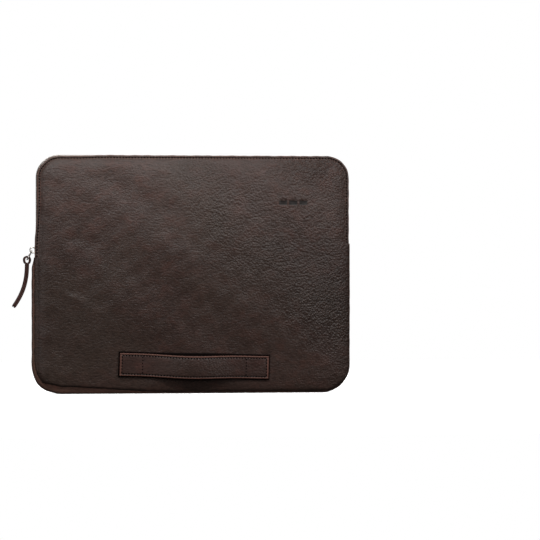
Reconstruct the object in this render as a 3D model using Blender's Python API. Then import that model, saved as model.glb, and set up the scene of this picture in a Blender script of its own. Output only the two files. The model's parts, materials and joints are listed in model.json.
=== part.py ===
"""A zip-around leather laptop sleeve, standing on its bottom gusset.

The frame is metres, +Z up. The front face looks along -Y and the zip slider sits on the -X side.
The origin is at the middle of the flat bottom of the gusset.

Two padded faces, each of leather, foam and lining, are joined below by a leather gusset and above
by a zip. The front face is made in two halves, which meet at the fold line: the upper half is the
flap that turns outwards when the zip is open. The zip slider runs up the left side, a metal ring
swings on the slider, and a folded leather tab swings on the ring.
"""

import math

import bmesh
import bpy

# Faces
PANEL_WIDTH = 0.3266
PANEL_HEIGHT = 0.2453
PANEL_BASE = 0.0017
DEPTH = 0.024
BOTTOM_CORNER_RADIUS = 0.0275
TOP_CORNER_RADIUS = 0.0235
ARC_STEPS = 8

# Layers of each face, from the outside in, and the space left between neighbours
LEATHER = 0.0013
FOAM = 0.0015
LINING = 0.0005
GAP = 0.0003
INNER_INSET = 0.0040

# Gusset, and the heights where the zip takes over from it
GUSSET_BULGE = 0.0017
GUSSET_FLAT_HALF = 0.0080
GUSSET_SHOULDER_RISE = 0.0012
GUSSET_SHOULDER_HALF = 0.0097
GUSSET_INNER_HALF = 0.0070
GUSSET_FOAM = 0.0026
GUSSET_FOAM_HALF = 0.0062
GUSSET_LINING_HALF = 0.0086
GUSSET_LEFT_END = 0.1410
GUSSET_RIGHT_END = 0.1555
FOLD_HEIGHT = 0.1640

# Zip: the chain's middle lies this far inside the edge of the faces
CHAIN_INSET = 0.0013
TAPE = 0.0006
TEETH_HALF_HEIGHT = 0.0012
TEETH_NEAR = 0.00055
TEETH_FAR = 0.0028
STOP_LENGTH = 0.0014
STOP_MARGIN = 0.0003

# Slider, at rest near the zip's left end
SLIDER_HEIGHT = 0.1487
SLIDER_LENGTH = 0.011
SLIDER_HALF_WIDTH = 0.0042
SLIDER_CHANNEL_HALF = 0.0015
SLIDER_WALL = 0.0009
SLIDER_POST = 0.0005
SLIDER_POST_INSET = 0.0010
SLIDER_POST_LENGTH = 0.0025
BAIL_REACH = 0.0020
BAIL_RADIUS = 0.00285
BAIL_BAR = 0.0014
BAIL_WIDTH = 0.0024
BAIL_STEPS = 14

# Ring and leather tab that pull the slider
RING_BAR = 0.0011
RING_LENGTH = 0.0104
RING_CORNER = 0.0008
RING_HALF_WIDTH = 0.0055
RING_ANGLE = math.radians(29)
RING_LEAN = math.radians(49)
TAB_LAYER = 0.0017
TAB_LAYER_OFFSET = 0.00100
TAB_LOOP_RADIUS = 0.00320
TAB_NECK = 0.007
TAB_LENGTH = 0.052
TAB_WIDTH = 0.0080
TAB_CURVE_START = 0.0
TAB_CURVE_END = 0.060
TAB_CURVE_ANGLE = math.radians(37)
TAB_STEP = 0.002

# Grab strap across the lower front
STRAP_LENGTH = 0.1556
STRAP_WIDTH = 0.0235
STRAP_X = -0.0003
STRAP_HEIGHT = 0.0286
STRAP_TILT = math.radians(1.5)
STRAP_PAD = 0.0237
STRAP_BOW = 0.008
STRAP_STEPS = 12

# Thread
THREAD = 0.0005
EDGE_THREAD_INSET = 0.0027
STRAP_THREAD_INSET = 0.0023
THREAD_START = 0.0015

FRONT = -DEPTH / 2
BACK = DEPTH / 2
HALF_WIDTH = PANEL_WIDTH / 2
PANEL_TOP = PANEL_BASE + PANEL_HEIGHT
INSIDE_LEATHER = DEPTH / 2 - LEATHER - GAP
INSIDE_FOAM = INSIDE_LEATHER - FOAM - GAP
INSIDE_LINING = INSIDE_FOAM - LINING
CHAIN_X = -HALF_WIDTH + CHAIN_INSET
SLIDER_FACE = SLIDER_CHANNEL_HALF + SLIDER_WALL
BAIL_X = CHAIN_X - SLIDER_FACE - BAIL_REACH
RING_REST = BAIL_RADIUS - (BAIL_BAR + RING_BAR) / 2 - GAP
RING_PIVOT = (
    BAIL_X - RING_REST * math.sin(RING_LEAN),
    0.0,
    SLIDER_HEIGHT - RING_REST * math.cos(RING_LEAN),
)
TAB_PIVOT = (
    RING_PIVOT[0] - RING_LENGTH * math.sin(RING_ANGLE),
    0.0,
    RING_PIVOT[2] - RING_LENGTH * math.cos(RING_ANGLE),
)

# Colour, roughness and metallic value of each kind of piece
FINISHES = {
    "leather": ((0.048, 0.030, 0.025), 0.45, 0.0),
    "strap_leather": ((0.056, 0.032, 0.026), 0.45, 0.0),
    "edge_paint": ((0.085, 0.042, 0.032), 0.55, 0.0),
    "foam": ((0.10, 0.10, 0.10), 0.90, 0.0),
    "lining": ((0.16, 0.10, 0.07), 0.95, 0.0),
    "zip_tape": ((0.035, 0.022, 0.018), 0.85, 0.0),
    "zip_teeth": ((0.16, 0.14, 0.12), 0.35, 1.0),
    "slider_metal": ((0.75, 0.72, 0.68), 0.20, 1.0),
    "thread": ((0.022, 0.012, 0.010), 0.80, 0.0),
}


def clear_scene():
    for found in list(bpy.data.objects):
        bpy.data.objects.remove(found, do_unlink=True)


def make_material(kind):
    colour, roughness, metallic = FINISHES[kind]
    material = bpy.data.materials.new(kind)
    material.use_nodes = True
    shader = material.node_tree.nodes["Principled BSDF"]
    shader.inputs["Base Color"].default_value = (*colour, 1.0)
    shader.inputs["Roughness"].default_value = roughness
    shader.inputs["Metallic"].default_value = metallic
    return material


def make_pivot(name, place, parent=None):
    """An empty on a joint's axis, which carries the pieces of one moving body."""
    pivot = bpy.data.objects.new(name, None)
    bpy.context.scene.collection.objects.link(pivot)
    pivot.empty_display_size = 0.01
    pivot["place"] = place
    if parent is not None:
        pivot.parent = parent
        pivot.location = [a - b for a, b in zip(place, parent["place"])]
    else:
        pivot.location = place
    return pivot


def make_loft(name, rings, kind, pivot, closed=False):
    """A solid through rings of points, each ring with the same number, capped at its ends."""
    count = len(rings[0])
    origin = pivot["place"]
    mesh_points = bmesh.new()
    rows = [
        [mesh_points.verts.new([p[k] - origin[k] for k in range(3)]) for p in ring]
        for ring in rings
    ]
    spans = len(rows) if closed else len(rows) - 1
    for i in range(spans):
        near, far = rows[i], rows[(i + 1) % len(rows)]
        for j in range(count):
            k = (j + 1) % count
            mesh_points.faces.new((near[j], near[k], far[k], far[j]))
    if not closed:
        mesh_points.faces.new(list(reversed(rows[0])))
        mesh_points.faces.new(rows[-1])
    bmesh.ops.recalc_face_normals(mesh_points, faces=mesh_points.faces)
    mesh = bpy.data.meshes.new(name)
    mesh_points.to_mesh(mesh)
    mesh_points.free()
    mesh.materials.append(MATERIALS[kind])
    made = bpy.data.objects.new(name, mesh)
    bpy.context.scene.collection.objects.link(made)
    made.parent = pivot
    return made


def make_box(name, low, high, kind, pivot):
    rings = [
        [(low[0], y, z) for y, z in corners_of(low[1], high[1], low[2], high[2])],
        [(high[0], y, z) for y, z in corners_of(low[1], high[1], low[2], high[2])],
    ]
    return make_loft(name, rings, kind, pivot)


def corners_of(a_low, a_high, b_low, b_high):
    return [(a_low, b_low), (a_high, b_low), (a_high, b_high), (a_low, b_high)]


def join_to(target, others):
    """Unites other solids with the target, by Booleans that stay on it."""
    for other in others:
        modifier = target.modifiers.new("join_" + other.name, "BOOLEAN")
        modifier.operation = "UNION"
        modifier.solver = "EXACT"
        modifier.object = other
        other.hide_render = True
        other.display_type = "WIRE"


# Outlines: stations along the edge of the faces, each (x, z, outward x, outward z)


def corner_stations(side, level):
    """One rounded corner: side is -1 left or 1 right, level is -1 bottom or 1 top."""
    radius = TOP_CORNER_RADIUS if level > 0 else BOTTOM_CORNER_RADIUS
    x = side * (HALF_WIDTH - radius)
    z = PANEL_TOP - radius if level > 0 else PANEL_BASE + radius
    stations = []
    for i in range(ARC_STEPS + 1):
        turn = math.pi / 2 * i / ARC_STEPS
        out = (side * math.cos(turn), level * math.sin(turn))
        place = (x + radius * out[0], z + radius * out[1])
        stations.append((*place, *out))
    return stations


def edge_stations(level, left_end, right_end):
    """The edge from a height on the left side, over the top or under the bottom, to the right."""
    left = corner_stations(-1, level)
    right = corner_stations(1, level)[::-1]
    ends = [(-HALF_WIDTH, left_end, -1, 0)], [(HALF_WIDTH, right_end, 1, 0)]
    return ends[0] + left + right + ends[1]


def side_stations(side, low, high):
    return [(side * HALF_WIDTH, z, side, 0) for z in (low, high)]


def sweep_rings(stations, profile):
    """Rings of a profile of (outward, y) points carried along the stations."""
    return [
        [(x + out * nx, y, z + out * nz) for out, y in profile]
        for x, z, nx, nz in stations
    ]


def make_run(name, stations, profile, kind, pivot, middle_name):
    """A profile swept round two corners, in three lengths: left side, straight middle, right."""
    half = len(stations) // 2
    (left_x, z, *out), (right_x, *_) = stations[half - 1], stations[half]
    middle = [(left_x + GAP, z, *out), (right_x - GAP, z, *out)]
    lengths = {"left": stations[:half], middle_name: middle, "right": stations[half:]}
    for part, run in lengths.items():
        make_loft(f"{name}_{part}", sweep_rings(run, profile), kind, pivot)


def make_sheet(name, stations, inset, y_range, kind, pivot):
    """A flat layer that fills the stations' outline, drawn in by the inset."""
    rings = [
        [(x - inset * nx, y, z - inset * nz) for x, z, nx, nz in stations]
        for y in y_range
    ]
    return make_loft(name, rings, kind, pivot)


def layer_ranges(side):
    """The y range of the leather, foam and lining on the front (-1) or back (1) face."""
    return {
        "leather": (side * DEPTH / 2, side * (DEPTH / 2 - LEATHER)),
        "foam": (side * INSIDE_LEATHER, side * (INSIDE_LEATHER - FOAM)),
        "lining": (side * INSIDE_FOAM, side * INSIDE_LINING),
    }


def make_faces(sleeve, flap):
    around = corner_stations(-1, -1)[::-1] + corner_stations(-1, 1)
    around += corner_stations(1, 1)[::-1] + corner_stations(1, -1)
    lower = edge_stations(-1, FOLD_HEIGHT - GAP / 2, FOLD_HEIGHT - GAP / 2)
    upper = edge_stations(1, FOLD_HEIGHT + GAP / 2, FOLD_HEIGHT + GAP / 2)
    for kind, inset in (("leather", 0), ("foam", INNER_INSET), ("lining", INNER_INSET)):
        front, back = layer_ranges(-1)[kind], layer_ranges(1)[kind]
        make_sheet(f"back_{kind}", around, inset, back, kind, sleeve)
        make_sheet(f"front_{kind}_lower", lower, inset, front, kind, sleeve)
        make_sheet(f"front_{kind}_upper", upper, inset, front, kind, flap)


def make_gusset(sleeve):
    """The strip of leather, foam and lining that joins the faces below the zip."""
    stations = edge_stations(-1, GUSSET_LEFT_END, GUSSET_RIGHT_END)
    y = INSIDE_LEATHER
    outer = [
        (0, -y),
        (GUSSET_SHOULDER_RISE, -GUSSET_SHOULDER_HALF),
        (GUSSET_BULGE, -GUSSET_FLAT_HALF),
    ]
    outer += mirrored(outer)
    inner = [(-LEATHER, y), (GUSSET_BULGE - LEATHER, GUSSET_INNER_HALF)]
    inner += mirrored(inner)
    top = GUSSET_BULGE - LEATHER - GAP
    bottom = top - GUSSET_FOAM
    foam = [(bottom, -GUSSET_LINING_HALF), (top, -GUSSET_FOAM_HALF)]
    foam += mirrored(foam)
    under = bottom - GAP
    lining = corners_of(under - LINING, under, -GUSSET_LINING_HALF, GUSSET_LINING_HALF)
    for kind, profile in (("leather", outer + inner), ("foam", foam), ("lining", lining)):
        make_run(f"gusset_{kind}", stations, profile, kind, sleeve, "bottom")


def mirrored(profile):
    """The other half of an (outward, y) profile that is the same on both sides."""
    return [(out, -y) for out, y in reversed(profile)]


def tape_profile(side):
    near, far = sorted((side * (TEETH_FAR + GAP), side * INSIDE_LEATHER))
    return corners_of(-CHAIN_INSET - TAPE / 2, -CHAIN_INSET + TAPE / 2, near, far)


def teeth_profile(side):
    near, far = sorted((side * TEETH_NEAR, side * TEETH_FAR))
    low, high = -CHAIN_INSET - TEETH_HALF_HEIGHT, -CHAIN_INSET + TEETH_HALF_HEIGHT
    return corners_of(low, high, near, far)


def stop_profile(y_low, y_high):
    reach = TEETH_HALF_HEIGHT + STOP_MARGIN
    return corners_of(-CHAIN_INSET - reach, -CHAIN_INSET + reach, y_low, y_high)


def make_zip(sleeve, flap):
    """Two tapes and two rows of teeth. The front ones turn with the flap above the fold."""
    left, right = GUSSET_LEFT_END + GAP, GUSSET_RIGHT_END + GAP
    left_teeth, right_teeth = left + STOP_LENGTH + GAP, right + 2 * STOP_LENGTH + GAP
    above, below = FOLD_HEIGHT + GAP / 2, FOLD_HEIGHT - GAP / 2
    for kind, make_profile, left_start, right_start in (
        ("zip_tape", tape_profile, left, right),
        ("zip_teeth", teeth_profile, left_teeth, right_teeth),
    ):
        front, back = make_profile(-1), make_profile(1)
        whole = edge_stations(1, left_start, right_start)
        make_run(f"back_{kind}", whole, back, kind, sleeve, "top")
        make_run(f"front_{kind}", edge_stations(1, above, above), front, kind, flap, "top")
        for part, side, start in (("left_end", -1, left_start), ("right_end", 1, right_start)):
            rings = sweep_rings(side_stations(side, start, below), front)
            make_loft(f"front_{kind}_{part}", rings, kind, sleeve)
    reach = TEETH_FAR + GAP / 2
    near = TEETH_NEAR - GAP / 2
    stops = (
        ("zip_stop_left_front", -1, left, STOP_LENGTH, (-reach, -near)),
        ("zip_stop_left_back", -1, left, STOP_LENGTH, (near, reach)),
        ("zip_stop_right", 1, right, 2 * STOP_LENGTH, (-reach, reach)),
    )
    for name, side, start, length, (y_low, y_high) in stops:
        rings = sweep_rings(
            side_stations(side, start, start + length), stop_profile(y_low, y_high)
        )
        make_loft(name, rings, "slider_metal", sleeve)


def make_slider(slider):
    """Two channelled plates joined by a thin post between the rows of teeth, with a bail on top."""
    half = SLIDER_LENGTH / 2
    low, high = SLIDER_HEIGHT - half, SLIDER_HEIGHT + half
    inner_half = SLIDER_HALF_WIDTH - SLIDER_WALL
    lip = TAPE / 2 + GAP
    face, channel = SLIDER_FACE, SLIDER_CHANNEL_HALF
    plates = []
    for side, name in ((-1, "zip_slider"), (1, "slider_inner_plate")):
        profile = [
            (face, -SLIDER_HALF_WIDTH),
            (face, SLIDER_HALF_WIDTH),
            (lip, SLIDER_HALF_WIDTH),
            (lip, inner_half),
            (channel, inner_half),
            (channel, -inner_half),
            (lip, -inner_half),
            (lip, -SLIDER_HALF_WIDTH),
        ]
        rings = [[(CHAIN_X + side * out, y, z) for out, y in profile] for z in (low, high)]
        plates.append(make_loft(name, rings, "slider_metal", slider))
    overlap = SLIDER_WALL / 2
    post = make_box(
        "slider_post",
        (CHAIN_X - channel - overlap, -SLIDER_POST / 2, low + SLIDER_POST_INSET),
        (
            CHAIN_X + channel + overlap,
            SLIDER_POST / 2,
            low + SLIDER_POST_INSET + SLIDER_POST_LENGTH,
        ),
        "slider_metal",
        slider,
    )
    join_to(plates[0], [post, plates[1], make_bail(slider)])


def make_bail(slider):
    """An upright eye on the slider's outer plate, which the ring hangs in."""
    foot = math.acos((BAIL_REACH + SLIDER_WALL / 2) / BAIL_RADIUS)
    line = []
    for i in range(BAIL_STEPS + 1):
        turn = foot + (2 * math.pi - 2 * foot) * i / BAIL_STEPS
        line.append((BAIL_X + BAIL_RADIUS * math.cos(turn), BAIL_RADIUS * math.sin(turn)))
    half = BAIL_BAR / 2
    rings = []
    for (x, z), (nx, nz) in zip(line, normals_of(line)):
        rings.append(
            [
                (x + sign * half * nx, y, SLIDER_HEIGHT + z + sign * half * nz)
                for sign, y in corners_of(-1, 1, -BAIL_WIDTH / 2, BAIL_WIDTH / 2)
            ]
        )
    return make_loft("slider_bail", rings, "slider_metal", slider)


def normals_of(line):
    """The unit normal of a line of 2-D points at each point."""
    normals = []
    for i in range(len(line)):
        (ax, az), (bx, bz) = line[max(i - 1, 0)], line[min(i + 1, len(line) - 1)]
        length = math.hypot(bx - ax, bz - az)
        normals.append(((az - bz) / length, (bx - ax) / length))
    return normals


def make_ring(puller):
    """A rectangular ring: its top bar lies in the slider's bail, its lower bar in the tab."""
    half = RING_BAR / 2
    down = (-math.sin(RING_ANGLE), -math.cos(RING_ANGLE))
    out = (down[1], -down[0])
    middle = RING_HALF_WIDTH - half
    cut = RING_CORNER

    def at(along, y, level):
        return (
            RING_PIVOT[0] + along * down[0] + level * out[0],
            y,
            RING_PIVOT[2] + along * down[1] + level * out[1],
        )

    centre = [
        (0, -middle + cut), (0, middle - cut), (cut, middle), (RING_LENGTH - cut, middle),
        (RING_LENGTH, middle - cut), (RING_LENGTH, -middle + cut),
        (RING_LENGTH - cut, -middle), (cut, -middle),
    ]
    rings = []
    for i, (along, y) in enumerate(centre):
        (a0, y0), (a1, y1) = centre[i - 1], centre[(i + 1) % len(centre)]
        length = math.hypot(a1 - a0, y1 - y0)
        na, ny = (y1 - y0) / length, -(a1 - a0) / length
        rings.append(
            [
                at(along + side * half * na, y + side * half * ny, level)
                for side, level in corners_of(-1, 1, -half, half)
            ]
        )
    make_loft("pull_ring", rings, "slider_metal", puller, closed=True)


def tab_line():
    """The middle of the leather strip: up one layer, round the ring's bar and down the other."""
    steps = round(TAB_LENGTH / TAB_STEP)
    x, z, left, right = 0.0, 0.0, [], []
    for i in range(steps + 1):
        along = i * TAB_STEP
        share = (along - TAB_CURVE_START) / (TAB_CURVE_END - TAB_CURVE_START)
        share = min(1.0, max(0.0, share))
        heading = TAB_CURVE_ANGLE * share * share * (3 - 2 * share)
        if i:
            x -= TAB_STEP * math.sin(heading)
            z -= TAB_STEP * math.cos(heading)
        neck = 0.5 * (1 + math.cos(math.pi * min(1.0, along / TAB_NECK)))
        offset = TAB_LAYER_OFFSET + (TAB_LOOP_RADIUS - TAB_LAYER_OFFSET) * neck
        side = (offset * math.cos(heading), -offset * math.sin(heading))
        left.append((x - side[0], z - side[1]))
        right.append((x + side[0], z + side[1]))
    loop = []
    for i in range(1, ARC_STEPS):
        turn = math.pi * (1 - i / ARC_STEPS)
        loop.append((TAB_LOOP_RADIUS * math.cos(turn), TAB_LOOP_RADIUS * math.sin(turn)))
    return left[::-1] + loop + right


def make_tab(tab):
    line = tab_line()
    rings = []
    for (x, z), (nx, nz) in zip(line, normals_of(line)):
        half = TAB_LAYER / 2
        rings.append(
            [
                (TAB_PIVOT[0] + x + side * half * nx, y, TAB_PIVOT[2] + z + side * half * nz)
                for side, y in corners_of(-1, 1, -TAB_WIDTH / 2, TAB_WIDTH / 2)
            ]
        )
    make_loft("leather_pull_tab", rings, "strap_leather", tab)


# Grab strap: measured along its length, across it, and off the front face


def strap_point(along, across, off):
    x = STRAP_X + along * math.cos(STRAP_TILT) + across * math.sin(STRAP_TILT)
    z = STRAP_HEIGHT - along * math.sin(STRAP_TILT) + across * math.cos(STRAP_TILT)
    return (x, FRONT - off, z)


def strap_rise(along):
    """How far the strap stands off the face: nothing on its sewn pads, most in the middle."""
    free = STRAP_LENGTH / 2 - STRAP_PAD
    if abs(along) >= free:
        return 0.0
    return STRAP_BOW * 0.5 * (1 + math.cos(math.pi * along / free))


def strap_stations(half_length):
    free = STRAP_LENGTH / 2 - STRAP_PAD
    inner = [-free + 2 * free * i / STRAP_STEPS for i in range(STRAP_STEPS + 1)]
    return [-half_length] + inner + [half_length]


def make_strap(sleeve):
    half, width = STRAP_LENGTH / 2, STRAP_WIDTH / 2
    backing_off = GAP
    face_off = GAP + LEATHER + GAP
    for name, kind, off in (
        ("grab_strap_backing", "strap_leather", backing_off),
        ("grab_strap_face", "strap_leather", face_off),
    ):
        rings = [
            [
                strap_point(along, across, strap_rise(along) + height)
                for across, height in corners_of(-width, width, off, off + LEATHER)
            ]
            for along in strap_stations(half)
        ]
        make_loft(name, rings, kind, sleeve)
    make_strap_threads(sleeve, face_off + LEATHER + GAP)


def make_strap_threads(sleeve, off):
    """One thread round the border of the strap, and one across it at each sewn pad."""
    long_half = STRAP_LENGTH / 2 - STRAP_THREAD_INSET
    wide_half = STRAP_WIDTH / 2 - STRAP_THREAD_INSET
    half = THREAD / 2
    along = strap_stations(long_half)
    rings = []
    for side, order in ((1, along), (-1, along[::-1])):
        for a in order:
            corner = long_half if a == order[0] or a == order[-1] else None
            draw = half if corner else 0.0
            end = math.copysign(draw, a)
            rings.append(
                [
                    strap_point(
                        a + step * end, side * (wide_half + step * half), strap_rise(a) + height
                    )
                    for step, height in corners_of(-1, 1, off, off + THREAD)
                ]
            )
    make_loft("strap_border_thread", rings, "thread", sleeve, closed=True)
    free = STRAP_LENGTH / 2 - STRAP_PAD
    reach = wide_half - half - GAP
    for name, place in (("strap_left_thread", -free), ("strap_right_thread", free)):
        rings = [
            [
                strap_point(place + step, across, off + height)
                for step, height in corners_of(-half, half, 0, THREAD)
            ]
            for across in (-reach, reach)
        ]
        make_loft(name, rings, "thread", sleeve)


def make_edge_threads(sleeve, flap):
    """The line of stitches that holds each face to its zip tape."""
    inset, half = EDGE_THREAD_INSET, THREAD / 2
    start = FOLD_HEIGHT + THREAD_START
    for name, side, stations, pivot in (
        ("front_edge_thread", -1, edge_stations(1, start, start), flap),
        (
            "back_edge_thread",
            1,
            edge_stations(1, GUSSET_LEFT_END, GUSSET_RIGHT_END),
            sleeve,
        ),
    ):
        near = side * (DEPTH / 2 + GAP)
        far = side * (DEPTH / 2 + GAP + THREAD)
        profile = corners_of(-inset - half, -inset + half, *sorted((near, far)))
        make_loft(name, sweep_rings(stations, profile), "thread", pivot)


clear_scene()
MATERIALS = {kind: make_material(kind) for kind in FINISHES}
SLEEVE = make_pivot("sleeve", (0.0, 0.0, 0.0))
FLAP = make_pivot("flap_fold_line", (0.0, FRONT, FOLD_HEIGHT), SLEEVE)
SLIDER = make_pivot("slider_track", (CHAIN_X, 0.0, SLIDER_HEIGHT), SLEEVE)
PULLER = make_pivot("ring_pivot", RING_PIVOT, SLIDER)
TAB = make_pivot("tab_pivot", TAB_PIVOT, PULLER)
make_faces(SLEEVE, FLAP)
make_gusset(SLEEVE)
make_zip(SLEEVE, FLAP)
make_slider(SLIDER)
make_ring(PULLER)
make_tab(TAB)
make_strap(SLEEVE)
make_edge_threads(SLEEVE, FLAP)
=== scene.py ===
"""The looks of a zip-around leather laptop sleeve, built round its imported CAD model.

Metres, +Z up, front face along -Y. The panels, gusset, tapes, teeth and stitches are built along
one rounded outline, which comes from the CAD nodes' boxes.
"""

import json
import math

import bmesh
import bpy
import numpy as np
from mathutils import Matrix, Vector


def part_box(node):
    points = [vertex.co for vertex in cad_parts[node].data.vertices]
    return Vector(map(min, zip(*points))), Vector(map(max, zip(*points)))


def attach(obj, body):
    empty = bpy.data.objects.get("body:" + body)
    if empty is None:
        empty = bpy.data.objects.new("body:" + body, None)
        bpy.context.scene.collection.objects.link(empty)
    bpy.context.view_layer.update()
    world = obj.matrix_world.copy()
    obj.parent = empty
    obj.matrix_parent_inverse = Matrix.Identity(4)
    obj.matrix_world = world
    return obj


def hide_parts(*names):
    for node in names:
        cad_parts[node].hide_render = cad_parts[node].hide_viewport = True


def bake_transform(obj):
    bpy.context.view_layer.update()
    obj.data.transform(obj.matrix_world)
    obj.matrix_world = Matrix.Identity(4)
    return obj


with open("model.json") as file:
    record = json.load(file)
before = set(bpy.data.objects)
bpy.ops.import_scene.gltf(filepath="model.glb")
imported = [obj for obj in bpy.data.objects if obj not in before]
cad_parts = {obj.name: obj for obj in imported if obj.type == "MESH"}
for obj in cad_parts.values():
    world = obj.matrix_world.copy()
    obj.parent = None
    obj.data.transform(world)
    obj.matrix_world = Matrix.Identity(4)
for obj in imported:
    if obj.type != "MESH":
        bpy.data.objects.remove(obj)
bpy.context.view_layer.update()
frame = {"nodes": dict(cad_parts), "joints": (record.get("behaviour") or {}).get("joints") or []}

# The outline of the faces, from the CAD
BACK_LOW, BACK_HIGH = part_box("back_leather")
HALF_W = BACK_HIGH.x
BASE_Z = BACK_LOW.z
TOP_Z = BACK_HIGH.z
BOTTOM_R = 0.0275
TOP_R = 0.0235
FACE_Y = BACK_HIGH.y
LINING_Y = -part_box("back_lining")[0].y
GUSSET_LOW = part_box("gusset_leather_bottom")[0].z
GUSSET_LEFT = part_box("gusset_leather_left")[1].z
GUSSET_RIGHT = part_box("gusset_leather_right")[1].z
WHICH = {-1: "front", 1: "back"}

# Steps of the faces' grid: round a corner, between the corners, and up a side
ARC = 22
SPAN = 165
RISE = 118


def smooth(low, high, value):
    t = np.clip((np.asarray(value, float) - low) / (high - low), 0, 1)
    return t * t * (3 - 2 * t)


# ---------------------------------------------------------------- outline


def arc(cx, cz, r, start, stop, n):
    a = np.radians(np.linspace(start, stop, n + 1))
    return np.stack(
        [cx + r * np.cos(a), cz + r * np.sin(a), np.cos(a), np.sin(a)], axis=1
    )


def level_row(top):
    """Stations (x, z, out x, out z) from the left side over the top, or under the bottom."""
    r = TOP_R if top else BOTTOM_R
    z = TOP_Z - r if top else BASE_Z + r
    sign = 1 if top else -1
    left = arc(-HALF_W + r, z, r, 180, 180 - sign * 90, ARC)
    right = arc(HALF_W - r, z, r, sign * 90, 0, ARC)
    x = -HALF_W + r + 2 * (HALF_W - r) * WAYS[1:-1]
    middle = np.stack(
        [x, np.full_like(x, z + sign * r), 0 * x, np.full_like(x, sign)], axis=1
    )
    return np.concatenate([left, middle, right])


def side_column(side):
    z = BASE_Z + BOTTOM_R + (TOP_Z - TOP_R - BASE_Z - BOTTOM_R) * CLIMBS
    one = np.ones_like(z)
    return np.stack([side * HALF_W * one, z, side * one, 0 * one], axis=1)


def spaced(count, start, stop, times):
    """Numbers from 0 to 1, with closer spacing between start and stop."""
    even = np.linspace(0, 1, count + 1)
    step = 1 / count / times
    fine = np.arange(round((stop - start) / step) + 1) * step + start
    rest = even[(even < start - 0.5 / count) | (even > stop + 0.5 / count)]
    return np.sort(np.concatenate([rest, fine]))


# The stations are closer together where the mark is pressed
WAYS = spaced(SPAN, 0.825, 0.965, 4)
CLIMBS = spaced(RISE, 0.775, 0.850, 4)
RISE = len(CLIMBS) - 1
BOTTOM = level_row(False)
TOP = level_row(True)
LEFT = side_column(-1)
RIGHT = side_column(1)
COLUMNS = len(BOTTOM) - 1
LOOP = np.concatenate([BOTTOM, RIGHT[1:], TOP[::-1][1:], LEFT[::-1][1:-1]])


def run_between(left_end, right_end, step, top=True):
    """Evenly spaced stations over the top (or under the bottom) between heights on the sides."""
    row = level_row(top)
    corner_z = row[0, 1]
    left = [[-HALF_W, left_end, -1.0, 0.0]] if abs(left_end - corner_z) > 1e-6 else []
    right = [[HALF_W, right_end, 1.0, 0.0]] if abs(right_end - corner_z) > 1e-6 else []
    path = np.array(left + row.tolist() + right)
    gaps = np.hypot(*np.diff(path[:, :2], axis=0).T)
    along = np.concatenate([[0], np.cumsum(gaps)])
    count = max(2, round(along[-1] / step))
    places = np.linspace(0, along[-1], count + 1)
    out = np.stack([np.interp(places, along, path[:, k]) for k in range(4)], axis=1)
    out[:, 2:] /= np.hypot(out[:, 2], out[:, 3])[:, None]
    return out, places


def inside_distance(x, z):
    """How far a point lies inside the outline."""
    x, z = np.asarray(x, float), np.asarray(z, float)
    mid = (BASE_Z + TOP_Z) / 2
    r = np.where(z > mid, TOP_R, BOTTOM_R)
    qx = np.abs(x) - HALF_W + r
    qz = np.abs(z - mid) - (TOP_Z - BASE_Z) / 2 + r
    outer = np.hypot(np.maximum(qx, 0), np.maximum(qz, 0))
    return -(np.minimum(np.maximum(qx, qz), 0) + outer - r)


def ripple(x, z, seed, low, high, count=9):
    """A smooth, seeded unevenness of about unit height, with waves from low to high long."""
    rng = np.random.default_rng(seed)
    total = np.zeros_like(np.asarray(x, float))
    for _ in range(count):
        turn, phase = rng.uniform(0, 2 * math.pi, 2)
        length = rng.uniform(low, high)
        wave = 2 * math.pi * (x * math.cos(turn) + z * math.sin(turn)) / length
        total = total + np.sin(wave + phase)
    return total / math.sqrt(count)


def bump_at(x, z, cx, cz, angle, length, width):
    """A soft elongated hump of unit height."""
    a = math.radians(angle)
    along = (x - cx) * math.cos(a) + (z - cz) * math.sin(a)
    across = -(x - cx) * math.sin(a) + (z - cz) * math.cos(a)
    return np.exp(-((along / length) ** 2) - (across / width) ** 2)


def waves(run, *terms):
    """Sine waves along a run, each given by its height and length."""
    return sum(height * np.sin(run * 2 * math.pi / length) for height, length in terms)


def zip_share(x, z):
    """1 where the zip borders the face, 0 where the gusset does."""
    end = np.where(np.asarray(x) < 0, GUSSET_LEFT, GUSSET_RIGHT)
    return smooth(-0.003, 0.003, z - end)


# The front's dent and the soft swells round it: (height, x, z, angle, length, width)
DENTS = [
    (-0.0010, -0.1270, 0.1045, -42, 0.0052, 0.0017),
    (0.0006, -0.1240, 0.1010, -42, 0.0060, 0.0024),
    (0.0008, -0.1200, 0.0955, -30, 0.0280, 0.0060),
    (-0.0006, -0.1120, 0.1580, -10, 0.0150, 0.0060),
]


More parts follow.
